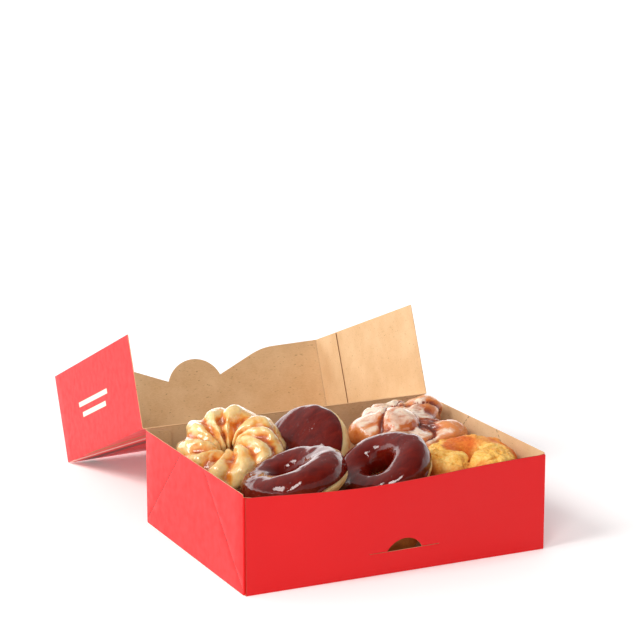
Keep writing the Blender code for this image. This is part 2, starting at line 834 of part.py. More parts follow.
skins = []
skins.append(make_chocolate_ring("ring_left", left_form, left_place, 11, skins))
skins.append(make_chocolate_ring("ring_middle", middle_form, middle_place, 17, skins))
skins.append(make_filled("filled", filled_form, place_of(*FILLED), 23, skins))
skins.append(make_cruller(place_of(*CRULLER), skins))
skins.append(make_fritter(place_of(*FRITTER), skins))
skins.append(make_old_fashioned(place_of(*OLD_FASHIONED), skins))
make_lower_layer(skins)
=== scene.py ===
"""The looks of an open carton of doughnuts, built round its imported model.

X runs along the front wall, Y from the front to the back wall, and Z up, in metres. The lid is
folded back over the back wall. Six doughnuts show at the top, and plain ones below carry them.
"""

import json
import math
import random

import bmesh
import bpy
from mathutils import Matrix, Vector, noise
from mathutils.kdtree import KDTree


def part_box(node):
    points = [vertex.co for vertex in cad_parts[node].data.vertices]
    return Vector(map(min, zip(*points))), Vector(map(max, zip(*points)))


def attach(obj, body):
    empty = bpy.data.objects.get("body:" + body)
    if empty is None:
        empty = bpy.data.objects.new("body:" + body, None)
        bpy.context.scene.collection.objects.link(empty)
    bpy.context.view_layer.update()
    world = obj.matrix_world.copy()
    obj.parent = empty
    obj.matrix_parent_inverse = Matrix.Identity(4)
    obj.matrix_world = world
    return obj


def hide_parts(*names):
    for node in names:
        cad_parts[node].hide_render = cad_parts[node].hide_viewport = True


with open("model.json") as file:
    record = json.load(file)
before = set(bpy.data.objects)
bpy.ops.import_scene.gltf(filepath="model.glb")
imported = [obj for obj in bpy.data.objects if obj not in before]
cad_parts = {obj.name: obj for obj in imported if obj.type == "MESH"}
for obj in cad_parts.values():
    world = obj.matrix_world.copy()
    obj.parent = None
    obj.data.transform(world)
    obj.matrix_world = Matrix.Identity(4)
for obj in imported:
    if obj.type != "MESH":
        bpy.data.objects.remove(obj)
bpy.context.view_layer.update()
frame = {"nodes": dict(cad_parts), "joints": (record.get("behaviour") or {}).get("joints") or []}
scene = bpy.context.scene

# The carton
# Thin board, printed red on its outside and left as brown kraft inside. It is cut as flat sheets,
# scored where it folds, and glued at its corner tabs.

BOARD = 0.0006
FOLD = 0.0009
WALL_COLUMNS = 36
WALL_ROWS = 12
TAB_REACH = 0.022
TAB_DROP = 0.0025
TAB_BEHIND = 0.0026
CORNER_GAP = 0.0012
SHEET_GAP = 0.0003
HALF_WIDTH, HALF_DEPTH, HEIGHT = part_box("box_base")[1]

# The front wall: how far it bellies out with its tabs, and how its top edge sags
FRONT_ZONE = 0.0040
FRONT_BOW = 0.0078
FRONT_SAG = 0.0026
FRONT_DROP = (0.0022, 0.0008)
BELLY = 1.9
BOW_PEAK = 0.756


def shader_of(name):
    """A new material, its node tree and its main shader."""
    made = bpy.data.materials.new(name)
    made.use_nodes = True
    return made, made.node_tree, made.node_tree.nodes["Principled BSDF"]


def add_node(tree, kind, **settings):
    """A new node, with values for its inputs or for its own settings."""
    made = tree.nodes.new(kind)
    for key, value in settings.items():
        if key in made.inputs:
            made.inputs[key].default_value = value
        else:
            setattr(made, key, value)
    return made


def place_in(tree, stretch=(1, 1, 1), turn=(0, 0, 0), shift=(0, 0, 0)):
    """The point on the piece, in metres, stretched or turned for a pattern."""
    coordinates = tree.nodes.new("ShaderNodeTexCoord")
    mapping = add_node(tree, "ShaderNodeMapping", Scale=stretch, Rotation=turn, Location=shift)
    tree.links.new(coordinates.outputs["Object"], mapping.inputs["Vector"])
    return mapping.outputs["Vector"]


def noise_of(tree, point, scale, detail=3.0, roughness=0.5, distortion=0.0):
    """Soft noise from 0 to 1 at a point. scale counts its waves in a metre."""
    made = add_node(
        tree, "ShaderNodeTexNoise", Scale=scale, Detail=detail, Roughness=roughness,
        Distortion=distortion,
    )
    tree.links.new(point, made.inputs["Vector"])
    return made.outputs["Fac"]


def maths(tree, operation, first, second=None):
    """One step of arithmetic on sockets or numbers."""
    made = add_node(tree, "ShaderNodeMath", operation=operation)
    for socket, value in zip(made.inputs, (first, second)):
        if value is None:
            continue
        if isinstance(value, (int, float)):
            socket.default_value = value
        else:
            tree.links.new(value, socket)
    return made.outputs["Value"]


def spread(tree, value, low, high, to_low=0.0, to_high=1.0):
    """A value rescaled from one range to another, held at the ends."""
    made = add_node(tree, "ShaderNodeMapRange", clamp=True)
    tree.links.new(value, made.inputs["Value"])
    made.inputs["From Min"].default_value = low
    made.inputs["From Max"].default_value = high
    made.inputs["To Min"].default_value = to_low
    made.inputs["To Max"].default_value = to_high
    return made.outputs["Result"]


def ramp_of(tree, value, stops):
    """A colour that follows a value through (place, colour) stops."""
    made = tree.nodes.new("ShaderNodeValToRGB")
    band = made.color_ramp
    while len(band.elements) < len(stops):
        band.elements.new(0.5)
    for element, (place, colour) in zip(band.elements, stops):
        element.position = place
        element.color = (*colour, 1.0)
    tree.links.new(value, made.inputs["Fac"])
    return made.outputs["Color"]


def blend_of(tree, share, first, second):
    """Two colours mixed by a share."""
    made = add_node(tree, "ShaderNodeMix", data_type="RGBA")
    for socket, value in ((made.inputs[6], first), (made.inputs[7], second)):
        if isinstance(value, tuple):
            socket.default_value = (*value, 1.0)
        else:
            tree.links.new(value, socket)
    if isinstance(share, (int, float)):
        made.inputs[0].default_value = share
    else:
        tree.links.new(share, made.inputs[0])
    return made.outputs[2]


def bump_of(tree, height, distance, strength, under=None):
    """Fine relief from a pattern, laid over the relief under it."""
    made = add_node(tree, "ShaderNodeBump", Distance=distance, Strength=strength)
    tree.links.new(height, made.inputs["Height"])
    if under is not None:
        tree.links.new(under, made.inputs["Normal"])
    return made.outputs["Normal"]


def srgb(red, green, blue):
    """A colour as a screen shows it, from 0 to 255, made linear."""
    steps = (value / 255 for value in (red, green, blue))
    return tuple(s / 12.92 if s <= 0.04045 else ((s + 0.055) / 1.055) ** 2.4 for s in steps)


RED = srgb(221, 2, 10)
RED_WORN = srgb(224, 26, 26)
KRAFT = srgb(221, 185, 142)
KRAFT_DARK = srgb(194, 151, 106)
KRAFT_PALE = srgb(238, 208, 168)
KRAFT_SPECK = srgb(128, 88, 54)
# Painted shade for the cuts and pressed creases: darker red outside, darker brown inside
RED_CUT_SHADE = srgb(110, 14, 14)
KRAFT_CUT_SHADE = srgb(96, 62, 36)

# A perforated crease: its step, the share of a step that is cut, and half its width
PERFORATION = 0.0046
PERFORATION_CUT = 0.55
PERFORATION_HALF = 0.0005


def crease_marks(tree, across, along):
    """1 in the cuts of a perforated crease, from the distance to its line and along it."""
    near = maths(tree, "LESS_THAN", maths(tree, "ABSOLUTE", across), PERFORATION_HALF)
    step = maths(tree, "FRACT", maths(tree, "DIVIDE", along, PERFORATION))
    cut = maths(tree, "LESS_THAN", step, PERFORATION_CUT)
    return maths(tree, "MULTIPLY", near, cut)


def base_crease(tree):
    """The cuts of the four slanting creases on the base's side walls."""
    split = tree.nodes.new("ShaderNodeSeparateXYZ")
    tree.links.new(place_in(tree), split.inputs["Vector"])
    x, y, z = split.outputs
    inwards = maths(tree, "SUBTRACT", HALF_DEPTH, maths(tree, "ABSOLUTE", y))
    across = maths(tree, "MULTIPLY", maths(tree, "SUBTRACT", inwards, z), math.sqrt(0.5))
    along = maths(tree, "MULTIPLY", maths(tree, "ADD", inwards, z), math.sqrt(0.5))
    side = maths(tree, "GREATER_THAN", maths(tree, "ABSOLUTE", x), HALF_WIDTH - 2 * BOARD)
    above = maths(tree, "GREATER_THAN", z, 2 * FOLD)
    on_wall = maths(tree, "MULTIPLY", side, above)
    return maths(tree, "MULTIPLY", crease_marks(tree, across, along), on_wall)


def printed_board(name, crease, prints=()):
    """Red coated board: a soft sheen, faint mottling, and pale wear. prints are further colours."""
    made, tree, shader = shader_of(name)
    point = place_in(tree)
    mottle = noise_of(tree, point, 900, 4)
    cloud = noise_of(tree, point, 16, 3)
    tone = blend_of(tree, spread(tree, mottle, 0.3, 0.75, 0.0, 0.16), RED, RED_WORN)
    tone = blend_of(tree, spread(tree, cloud, 0.45, 0.75, 0.0, 0.10), tone, RED_WORN)
    for mask, colour in prints:
        tone = blend_of(tree, mask(tree), tone, colour)
    cuts = crease(tree)
    # Painted shade: the cuts and creases are coloured darker red, as if in shadow
    tone = blend_of(tree, maths(tree, "MULTIPLY", cuts, 0.85), tone, RED_CUT_SHADE)
    tree.links.new(tone, shader.inputs["Base Color"])
    rough = spread(tree, noise_of(tree, point, 140, 3), 0.3, 0.7, 0.34, 0.46)
    tree.links.new(rough, shader.inputs["Roughness"])
    shader.inputs["Specular IOR Level"].default_value = 0.3
    grain = bump_of(tree, noise_of(tree, point, 420, 3), 0.00004, 0.6)
    tree.links.new(bump_of(tree, cuts, -0.0002, 0.8, grain), shader.inputs["Normal"])
    return made


def kraft_board(name, crease=None, pale=KRAFT_PALE, dark=KRAFT_DARK, body=KRAFT):
    """Bare brown board: short fibres that lie mostly one way, with a few dark and pale specks."""
    made, tree, shader = shader_of(name)
    fibres = noise_of(tree, place_in(tree, (1, 5, 5)), 420, 4, 0.6, 0.6)
    cloud = noise_of(tree, place_in(tree), 34, 4, 0.6)
    specks = noise_of(tree, place_in(tree, (1, 2.4, 2.4)), 300, 2, 0.5)
    tone = blend_of(tree, spread(tree, fibres, 0.35, 0.68, 0.0, 0.55), body, dark)
    tone = blend_of(tree, spread(tree, cloud, 0.38, 0.70, 0.0, 0.45), tone, pale)
    tone = blend_of(tree, spread(tree, specks, 0.66, 0.74, 0.0, 0.6), tone, KRAFT_SPECK)
    if crease is not None:
        # Painted shade: the cuts are coloured darker brown, as if in shadow
        tone = blend_of(tree, maths(tree, "MULTIPLY", crease(tree), 0.6), tone, KRAFT_CUT_SHADE)
    tree.links.new(tone, shader.inputs["Base Color"])
    shader.inputs["Roughness"].default_value = 0.86
    shader.inputs["Specular IOR Level"].default_value = 0.25
    rough_skin = bump_of(tree, fibres, 0.00006, 0.7)
    tree.links.new(rough_skin, shader.inputs["Normal"])
    return made


def extrude_by(bm, edges, way):
    """Pull edges out by a vector. Returns the new edges that run as the old ones did."""
    pulled = bmesh.ops.extrude_edge_only(bm, edges=edges)["geom"]
    verts = [item for item in pulled if isinstance(item, bmesh.types.BMVert)]
    bmesh.ops.translate(bm, vec=way, verts=verts)
    fresh = set(verts)
    return [
        item for item in pulled
        if isinstance(item, bmesh.types.BMEdge) and fresh.issuperset(item.verts)
    ]


def bent_line(bm, corners, cuts):
    """A wire through the corners, its inner ones rounded as folds, its long runs cut in steps."""
    verts = [bm.verts.new(corner) for corner in corners]
    for first, second in zip(verts, verts[1:]):
        bm.edges.new((first, second))
    bmesh.ops.bevel(
        bm, geom=verts[1:-1], offset=FOLD, offset_type="OFFSET", segments=3, profile=0.5,
        affect="VERTICES", material=-1,
    )
    for edge in [edge for edge in bm.edges if edge.calc_length() > 0.03]:
        bmesh.ops.subdivide_edges(bm, edges=[edge], cuts=cuts)
    return bm.edges[:]


def pull_sheet(corners, cuts, way, steps):
    """A folded sheet: a rounded profile pulled along one way in equal steps."""
    bm = bmesh.new()
    edges = bent_line(bm, corners, cuts)
    for _ in range(steps):
        edges = extrude_by(bm, edges, Vector(way) / steps)
    return bm


def face_away(bm, middle):
    """Turn every face of a sheet so that it looks away from the middle of the box."""
    bm.normal_update()
    for face in bm.faces:
        if face.normal.dot(face.calc_center_median() - Vector(middle)) < 0:
            face.normal_flip()


def join(target, bm):
    """Add one bmesh to another."""
    mesh = bpy.data.meshes.new("part")
    bm.to_mesh(mesh)
    bm.free()
    target.from_mesh(mesh)
    bpy.data.meshes.remove(mesh)


def show(name, bm, looks):
    """A bmesh made an object of its own, with its materials."""
    mesh = bpy.data.meshes.new(name)
    bm.to_mesh(mesh)
    bm.free()
    made = bpy.data.objects.new(name, mesh)
    scene.collection.objects.link(made)
    for look in looks:
        mesh.materials.append(look)
    return made


def settle(thing):
    """Apply a piece's modifiers, so that its mesh is its final shape."""
    graph = bpy.context.evaluated_depsgraph_get()
    mesh = bpy.data.meshes.new_from_object(thing.evaluated_get(graph))
    mesh.name = thing.name
    thing.modifiers.clear()
    thing.data = mesh
    return thing


def crisp(thing):
    """Smooth shading that breaks at the board's edges."""
    thing.data.shade_smooth()
    thing.data.set_sharp_from_angle(angle=math.radians(40))


def thicken(thing, offset):
    """Give a sheet its board: print outside, kraft inside, and a cut edge."""
    wall = thing.modifiers.new("board", "SOLIDIFY")
    wall.thickness = BOARD
    wall.offset = offset
    wall.use_even_offset = True
    wall.material_offset = 1
    wall.material_offset_rim = 2


def front_share(x):
    """How much of its full bow the front wall has at an X, from 0 to 1."""
    across = min(max(x / (2 * HALF_WIDTH) + 0.5, 0), 1)
    return math.sin(math.pi * across**BOW_PEAK) ** 2


def bulge(bm):
    """Belly out the front wall with its tabs, and lower its top edge."""
    left, right = FRONT_DROP
    for vert in bm.verts:
        x, y, z = vert.co
        if y < FRONT_ZONE - HALF_DEPTH and abs(x) < HALF_WIDTH - FOLD / 2:
            lift = z / HEIGHT
            vert.co.y -= FRONT_BOW * front_share(x) * math.sin(BELLY * min(lift, 1))
            drop = left + (right - left) * (x / (2 * HALF_WIDTH) + 0.5)
            vert.co.z -= (drop + FRONT_SAG * front_share(x)) * lift


# A pressed crease: half its width, its depth, and how far below the rim it ends
CREASE_HALF = 0.0009
CREASE_DEPTH = 0.00022
CREASE_END = 0.0005


def score(bm, point, normal, side_x):
    """Press a slanting crease a little way into a side wall."""
    flat = [face for face in bm.faces if all(abs(v.co.x - side_x) < 1e-5 for v in face.verts)]
    for shift in (-CREASE_HALF, 0.0, CREASE_HALF):
        edges = {edge for face in flat for edge in face.edges}
        verts = {vert for face in flat for vert in face.verts}
        where = Vector(point) + Vector(normal) * shift
        cut = bmesh.ops.bisect_plane(
            bm, geom=[*flat, *edges, *verts], dist=1e-6, plane_co=where, plane_no=normal
        )
        flat = [item for item in cut["geom"] if isinstance(item, bmesh.types.BMFace)]
        if shift == 0.0:
            line = [item for item in cut["geom_cut"] if isinstance(item, bmesh.types.BMVert)]
    for vert in line:
        if FOLD * 2 < vert.co.z < HEIGHT - CREASE_END:
            vert.co.x -= math.copysign(CREASE_DEPTH, side_x)


# The floor of the bent sheet: its height at most, and its distance from the walls' folds
FLOOR_TOP = 0.0008
FLOOR_CLEAR = 0.001


def front_and_back():
    """Floor, front and back walls: one sheet with two folds."""
    edge_x = HALF_WIDTH - CORNER_GAP
    profile = [
        (-edge_x, -HALF_DEPTH, HEIGHT),
        (-edge_x, -HALF_DEPTH, 0),
        (-edge_x, HALF_DEPTH, 0),
        (-edge_x, HALF_DEPTH, HEIGHT),
    ]
    bm = pull_sheet(profile, WALL_ROWS, (2 * edge_x, 0, 0), WALL_COLUMNS)
    inside = HALF_WIDTH - BOARD - SHEET_GAP
    for vert in bm.verts:
        if vert.co.z < FLOOR_TOP and abs(vert.co.y) < HALF_DEPTH - FLOOR_CLEAR:
            vert.co.x = min(max(vert.co.x, -inside), inside)
    face_away(bm, (0, 0, HEIGHT / 2))
    return bm


def side_and_tabs(side):
    """One side wall with a glue tab folded round at each end."""
    outer = side * HALF_WIDTH
    inner = side * (HALF_WIDTH - TAB_REACH)
    end = HALF_DEPTH - TAB_BEHIND
    turns = ((inner, -end), (outer, -end), (outer, end), (inner, end))
    profile = [(x, y, SHEET_GAP) for x, y in turns]
    bm = pull_sheet(profile, WALL_ROWS, (0, 0, HEIGHT - SHEET_GAP), WALL_ROWS)
    for vert in bm.verts:
        if abs(vert.co.x) < HALF_WIDTH - 2 * FOLD and vert.co.z > HEIGHT - TAB_DROP:
            vert.co.z = HEIGHT - TAB_DROP
    face_away(bm, (0, 0, HEIGHT / 2))
    for back in (-1, 1):
        score(bm, (outer, back * HALF_DEPTH, 0), Vector((0, back, 1)).normalized(), outer)
    return bm


# The slot in the front wall: a slit with a thumb hole, and how far the die reaches past the wall
SLOT_X = 0.0024
SLIT_HALF = 0.0297
SLIT_Z = 0.0188
SLIT_HEIGHT = 0.0004
THUMB_CHORD = 0.0296
THUMB_RISE = 0.0089
DIE_BEFORE = 0.002
DIE_BEHIND = 0.003


def slot_cutter():
    """The shape that a die cuts from the front wall: a slit under a half-moon thumb hole."""
    bm = bmesh.new()
    radius = (THUMB_CHORD**2 / 4 + THUMB_RISE**2) / (2 * THUMB_RISE)
    half_angle = math.asin(THUMB_CHORD / 2 / radius)
    top = SLIT_Z + SLIT_HEIGHT
    outline = [(-SLIT_HALF, SLIT_Z), (SLIT_HALF, SLIT_Z), (SLIT_HALF, top)]
    steps = 24
    for step in range(steps + 1):
        angle = half_angle * (1 - 2 * step / steps)
        height = top + THUMB_RISE - radius + radius * math.cos(angle)
        outline.append((radius * math.sin(angle), height))
    outline.append((-SLIT_HALF, top))
    front = -HALF_DEPTH - FRONT_BOW - DIE_BEFORE
    face = bm.faces.new([bm.verts.new((SLOT_X + x, front, z)) for x, z in outline])
    pulled = bmesh.ops.extrude_face_region(bm, geom=[face], use_keep_orig=True)["geom"]
    moved = [item for item in pulled if isinstance(item, bmesh.types.BMVert)]
    reach = FRONT_BOW + DIE_BEFORE + DIE_BEHIND
    bmesh.ops.translate(bm, vec=(0, reach, 0), verts=moved)
    bmesh.ops.recalc_face_normals(bm, faces=bm.faces)
    return show("slot_cutter", bm, [CUT_EDGE])


BASE_RED = printed_board("base_red_print", base_crease)
BASE_KRAFT = kraft_board("base_kraft", base_crease)
CUT_EDGE = kraft_board(
    "board_cut_edge", pale=srgb(240, 205, 165), dark=KRAFT, body=srgb(222, 178, 132)
)
# The front sheet's cut edges: the board's own brown, darkened with painted shade for the narrow
# gaps at the front corners
FRONT_EDGE_IN_PAINTED_SHADE = kraft_board(
    "front_cut_edge_painted_shade", pale=srgb(150, 88, 60), dark=srgb(98, 48, 34), body=srgb(124, 66, 46)
)

sheets = bmesh.new()
for side in (-1, 1):
    join(sheets, side_and_tabs(side))
bulge(sheets)
base_sides = show("base_sides", sheets, [BASE_RED, BASE_KRAFT, CUT_EDGE])
sheets = front_and_back()
bulge(sheets)
base_board = show("base_board", sheets, [BASE_RED, BASE_KRAFT, FRONT_EDGE_IN_PAINTED_SHADE])
thicken(base_sides, -1.0)
thicken(base_board, -1.0)
cutter = slot_cutter()
cut = base_board.modifiers.new("slot", "BOOLEAN")
cut.operation = "DIFFERENCE"
cut.solver = "EXACT"
cut.material_mode = "TRANSFER"
cut.object = cutter
for piece in (base_board, base_sides):
    settle(piece)
    crisp(piece)
    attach(piece, "tray")
    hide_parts("box_base")
bpy.data.objects.remove(cutter)

# The lid
# A tray of the same board, folded back from the back wall until its far edge rests on the table.
# Its front flap has sloping shoulders and a round tongue, and its end tabs are glued to the sides.

hinge = frame["joints"][0]
HINGE_Y, HINGE_Z = hinge["pos_m"][1:]
LID_EASE = 0.001
LID_OVER = 0.0014
TABLE_GAP = 0.0001
LID_HALF = HALF_WIDTH + LID_EASE + BOARD / 2
LID_LENGTH = 2 * HALF_DEPTH + LID_OVER
FLAP_HEIGHT = 0.077
LID_TWIST = 0.0072
LID_FALL = math.asin((HINGE_Z - BOARD / 2 - TABLE_GAP) / (LID_LENGTH + BOARD / 2))

# Grid of the top and its flaps, and the glued tab inside each side flap
LID_ROWS = 14
FLAP_ROWS = 10
LID_TAB_ROWS = 6
LID_TAB_REACH = 0.046
LID_TAB_START = 0.0016
LID_TAB_CLEAR = 0.0012

# The free edge of the front flap: a round tongue between two sloping shoulders
TONGUE_X = 0.002
TONGUE_RADIUS = 0.027
TONGUE_HALF = 0.02525
TONGUE_BASE = 0.0578
SHOULDER = 0.070
SHOULDER_ROUNDING = 0.005
lid_place = Matrix.Translation((0, HINGE_Y, HINGE_Z)) @ Matrix.Rotation(-LID_FALL, 4, "X")


def in_lid(tree):
    """X, Y and Z in the lid's own frame: along the hinge, away from it, and out of its top."""
    moved = place_in(tree, shift=(0, -HINGE_Y, -HINGE_Z))
    turned = add_node(tree, "ShaderNodeVectorRotate", rotation_type="X_AXIS", Angle=LID_FALL)
    tree.links.new(moved, turned.inputs["Vector"])
    split = tree.nodes.new("ShaderNodeSeparateXYZ")
    tree.links.new(turned.outputs["Vector"], split.inputs["Vector"])
    x, y, z = split.outputs
    across = maths(tree, "MULTIPLY_ADD", x, LID_TWIST / (2 * LID_HALF * LID_LENGTH))
    across.node.inputs[2].default_value = LID_TWIST / (2 * LID_LENGTH)
    return x, y, maths(tree, "SUBTRACT", z, maths(tree, "MULTIPLY", across, y))


# The lid's slanting creases, pressed and not cut: their run along the lid and their share of a
# cut's painted shade
CREASE_RUN = 0.064
CREASE_SHARE = 0.6
LINE_CORE = 0.0001
LINE_HALF = 0.0005


def lid_crease(tree):
    """The slanting crease of each side flap, from the far corner to the free edge."""
    x, y, z = in_lid(tree)
    slope = math.atan2(FLAP_HEIGHT, CREASE_RUN)
    inwards = maths(tree, "SUBTRACT", LID_LENGTH, y)
    across = maths(
        tree, "SUBTRACT", maths(tree, "MULTIPLY", inwards, math.sin(slope)),
        maths(tree, "MULTIPLY", z, math.cos(slope)),
    )
    side = maths(tree, "GREATER_THAN", maths(tree, "ABSOLUTE", x), LID_HALF - 2 * BOARD)
    near = spread(tree, maths(tree, "ABSOLUTE", across), LINE_CORE, LINE_HALF, 1.0, 0.0)
    return maths(tree, "MULTIPLY", maths(tree, "MULTIPLY", near, side), CREASE_SHARE)


# How far the ink fades at the edge of a printed shape
PRINT_EDGE = 0.0003


def stripe(tree, value, low, high):
    """1 where a value lies between two limits, with a printed edge."""
    away = maths(tree, "ABSOLUTE", maths(tree, "SUBTRACT", value, (low + high) / 2))
    return spread(tree, away, (high - low) / 2 - PRINT_EDGE, (high - low) / 2, 1.0, 0.0)


def box_mask(tree, lows, highs):
    """1 between two corners in the lid's own frame."""
    share = None
    for value, low, high in zip(in_lid(tree), lows, highs):
        inside = stripe(tree, value, low, high)
        share = inside if share is None else maths(tree, "MULTIPLY", share, inside)
    return share


# Bars on the left flap: start and end from the hinge, and height. Bands on the top: start, end
# and colour.
CREAM = srgb(250, 228, 205)
BAR_HEIGHT = 0.0045
BARS = ((0.0694, 0.1453, 0.0426), (0.0768, 0.1389, 0.0333))
BAND_SLANT = 0.26
BANDS = (
    (0.052, 0.066, srgb(122, 44, 26)), (0.074, 0.081, srgb(236, 190, 176)),
    (0.089, 0.097, srgb(186, 92, 36)),
)


def bar(start, end, height):
    """A plain cream bar on the left flap."""
    low = (-LID_HALF - 2 * BOARD, start, height - BAR_HEIGHT / 2)
    high = (-LID_HALF + 2 * BOARD, end, height + BAR_HEIGHT / 2)
    return lambda tree: box_mask(tree, low, high)


def band(start, end):
    """Two plain slanting bands of colour on the lid's top, one a mirror of the other."""

    def mask(tree):
        x, y, z = in_lid(tree)
        slant = maths(tree, "MULTIPLY", y, BAND_SLANT)
        out = maths(tree, "SUBTRACT", maths(tree, "ABSOLUTE", x), slant)
        top = maths(tree, "LESS_THAN", z, 0.0)
        return maths(tree, "MULTIPLY", stripe(tree, out, start, end), top)

    return mask


def flap_edge(x):
    """Height of the front flap's free edge."""
    out = abs(x - TONGUE_X)
    if out < TONGUE_HALF:
        centre = TONGUE_BASE - math.sqrt(TONGUE_RADIUS**2 - TONGUE_HALF**2)
        return centre + math.sqrt(TONGUE_RADIUS**2 - out**2)
    slope = (FLAP_HEIGHT - TONGUE_BASE) / (SHOULDER - TONGUE_HALF)
    rising = TONGUE_BASE + slope * (out - TONGUE_HALF)
    blend = max(SHOULDER_ROUNDING - abs(rising - FLAP_HEIGHT), 0) / SHOULDER_ROUNDING
    return min(rising, FLAP_HEIGHT) - blend**2 * SHOULDER_ROUNDING / 4


# Steps of the grid round the tongue and the shoulders, and its last lines before the sides
TONGUE_STEPS = 32
TONGUE_CLEAR = 0.0001
SHOULDER_START = 0.006
SHOULDER_STEP = 0.0025
END_COLUMNS = [0.092, 0.103, 0.115]


def lid_columns():
    """X of each upright line of the sheet, close together round the tongue."""
    tongue_angle = math.asin(TONGUE_HALF / TONGUE_RADIUS)
    half = [TONGUE_HALF + TONGUE_CLEAR, TONGUE_HALF + SHOULDER_START, (TONGUE_HALF + SHOULDER) / 2]
    half += [SHOULDER + SHOULDER_STEP * step for step in range(-5, 6)]
    half += END_COLUMNS
    tongue = [
        TONGUE_X + TONGUE_RADIUS * math.sin(tongue_angle * (2 * step / TONGUE_STEPS - 1))
        for step in range(TONGUE_STEPS + 1)
    ]
    left = [TONGUE_X - out for out in reversed(half)]
    right = [TONGUE_X + out for out in half]
    return [-LID_HALF, *left, *tongue, *right, LID_HALF]


def lid_sheet():
    """The lid's middle surface, with rounded folds."""
    columns = lid_columns()
    bm = bmesh.new()
    bmesh.ops.create_grid(bm, x_segments=len(columns) - 1, y_segments=LID_ROWS, size=1.0)
    for vert in bm.verts:
        column = round((vert.co.x + 1) / 2 * (len(columns) - 1))
        vert.co.x = columns[column]
        vert.co.y = (vert.co.y + 1) / 2 * LID_LENGTH
    rim = [
        edge for edge in bm.edges
        if edge.is_boundary and max(vert.co.y for vert in edge.verts) > BOARD
    ]
    folds = rim[:]
    for _ in range(FLAP_ROWS):
        rim = extrude_by(bm, rim, (0, 0, FLAP_HEIGHT / FLAP_ROWS))
    for vert in bm.verts:
        if vert.co.y > LID_LENGTH - BOARD:
            vert.co.z *= flap_edge(vert.co.x) / FLAP_HEIGHT
    corners = [
        edge for edge in bm.edges
        if all(v.co.y > LID_LENGTH - BOARD and abs(v.co.x) > LID_HALF - BOARD for v in edge.verts)
    ]
    bmesh.ops.bevel(
        bm, geom=folds + corners, offset=FOLD, offset_type="OFFSET", segments=3, profile=0.5,
        affect="EDGES", material=-1,
    )
    face_away(bm, (0, LID_LENGTH / 2, FLAP_HEIGHT / 2))
    return bm


def lid_tab(side):
    """The front flap's end tab, glued inside the side flap."""
    bm = bmesh.new()
    inside = side * (LID_HALF - BOARD - SHEET_GAP)
    ends = (LID_LENGTH - LID_TAB_REACH, LID_LENGTH - LID_TAB_CLEAR)
    verts = [bm.verts.new((inside, y, LID_TAB_START)) for y in ends]
    edges = [bm.edges.new(verts)]
    for _ in range(LID_TAB_ROWS):
        edges = extrude_by(bm, edges, (0, 0, (FLAP_HEIGHT - TAB_DROP) / LID_TAB_ROWS))
    for edge in [edge for edge in bm.edges if abs(edge.verts[0].co.z - edge.verts[1].co.z) < 1e-6]:
        bmesh.ops.subdivide_edges(bm, edges=[edge], cuts=3)
    face_away(bm, (0, LID_LENGTH / 2, FLAP_HEIGHT / 2))
    return bm


LID_PRINTS = [(bar(*each), CREAM) for each in BARS]
LID_PRINTS += [(band(start, end), tone) for start, end, tone in BANDS]
LID_RED = printed_board("lid_red_print", lid_crease, LID_PRINTS)
LID_KRAFT = kraft_board("lid_kraft")
TAB_EDGE = kraft_board(
    "tab_edge_in_shade", pale=srgb(150, 110, 76), dark=srgb(96, 62, 38), body=srgb(120, 84, 54)
)

for name, sheets, edge in (
    ("lid_board", lid_sheet(), CUT_EDGE), ("lid_tab_left", lid_tab(-1), TAB_EDGE),
    ("lid_tab_right", lid_tab(1), TAB_EDGE),
):
    for vert in sheets.verts:
        vert.co.z += LID_TWIST * (vert.co.x / (2 * LID_HALF) + 0.5) * (vert.co.y / LID_LENGTH)
    bmesh.ops.transform(sheets, matrix=lid_place, verts=sheets.verts)
    piece = show(name, sheets, [LID_RED, LID_KRAFT, edge])
    thicken(piece, 0.0)
    settle(piece)
    crisp(piece)
    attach(piece, "lid")
    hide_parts("box_lid")

# The hinge fold
# The creased strip of board between the back wall and the lid, bent round the hinge line. It is
# cut from the same sheet, and stays with the base when the lid swings.

HINGE_RADIUS = 0.00052
HINGE_FORWARD = 0.0003
HINGE_DOWN = 0.0002
HINGE_SIDES = 12
HINGE_STEPS = 24
HINGE_END = HALF_WIDTH - BOARD

bm = bmesh.new()
bmesh.ops.create_circle(bm, radius=HINGE_RADIUS, segments=HINGE_SIDES)
bmesh.ops.rotate(bm, matrix=Matrix.Rotation(math.pi / 2, 3, "Y"), verts=bm.verts)
start = (-HINGE_END, HINGE_Y - HINGE_FORWARD, HINGE_Z - HINGE_DOWN)
bmesh.ops.translate(bm, vec=start, verts=bm.verts)
strip = bm.edges[:]
for _ in range(HINGE_STEPS):
    strip = extrude_by(bm, strip, (2 * HINGE_END / HINGE_STEPS, 0, 0))
open_ends = [edge for edge in bm.edges if edge.is_boundary]
bmesh.ops.holes_fill(bm, edges=open_ends, sides=HINGE_SIDES)
bmesh.ops.recalc_face_normals(bm, faces=bm.faces)
hinge_fold = show("hinge_fold", bm, [CUT_EDGE])
crisp(hinge_fold)
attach(hinge_fold, "tray")

# The chocolate rings
# Two raised rings and a filled round one, fried pale gold with a lighter band round the middle,
# their tops dipped in chocolate that has set glossy, thicker at its wavy rim.


def refined(node, levels):
    """A finer copy of a CAD doughnut: its triangles paired into quads, then smoothed."""
    bm = bmesh.new()
    bm.from_mesh(frame["nodes"][node].data)
    bmesh.ops.remove_doubles(bm, verts=bm.verts, dist=2e-6)
    bmesh.ops.join_triangles(
        bm, faces=bm.faces, angle_face_threshold=math.pi, angle_shape_threshold=math.pi
    )
    made = show(node + "_fine", bm, [])
    smooth = made.modifiers.new("smooth", "SUBSURF")
    smooth.levels = levels
    smooth.render_levels = levels
    settle(made)
    bm = bmesh.new()
    bm.from_mesh(made.data)
    bpy.data.objects.remove(made)
    return bm


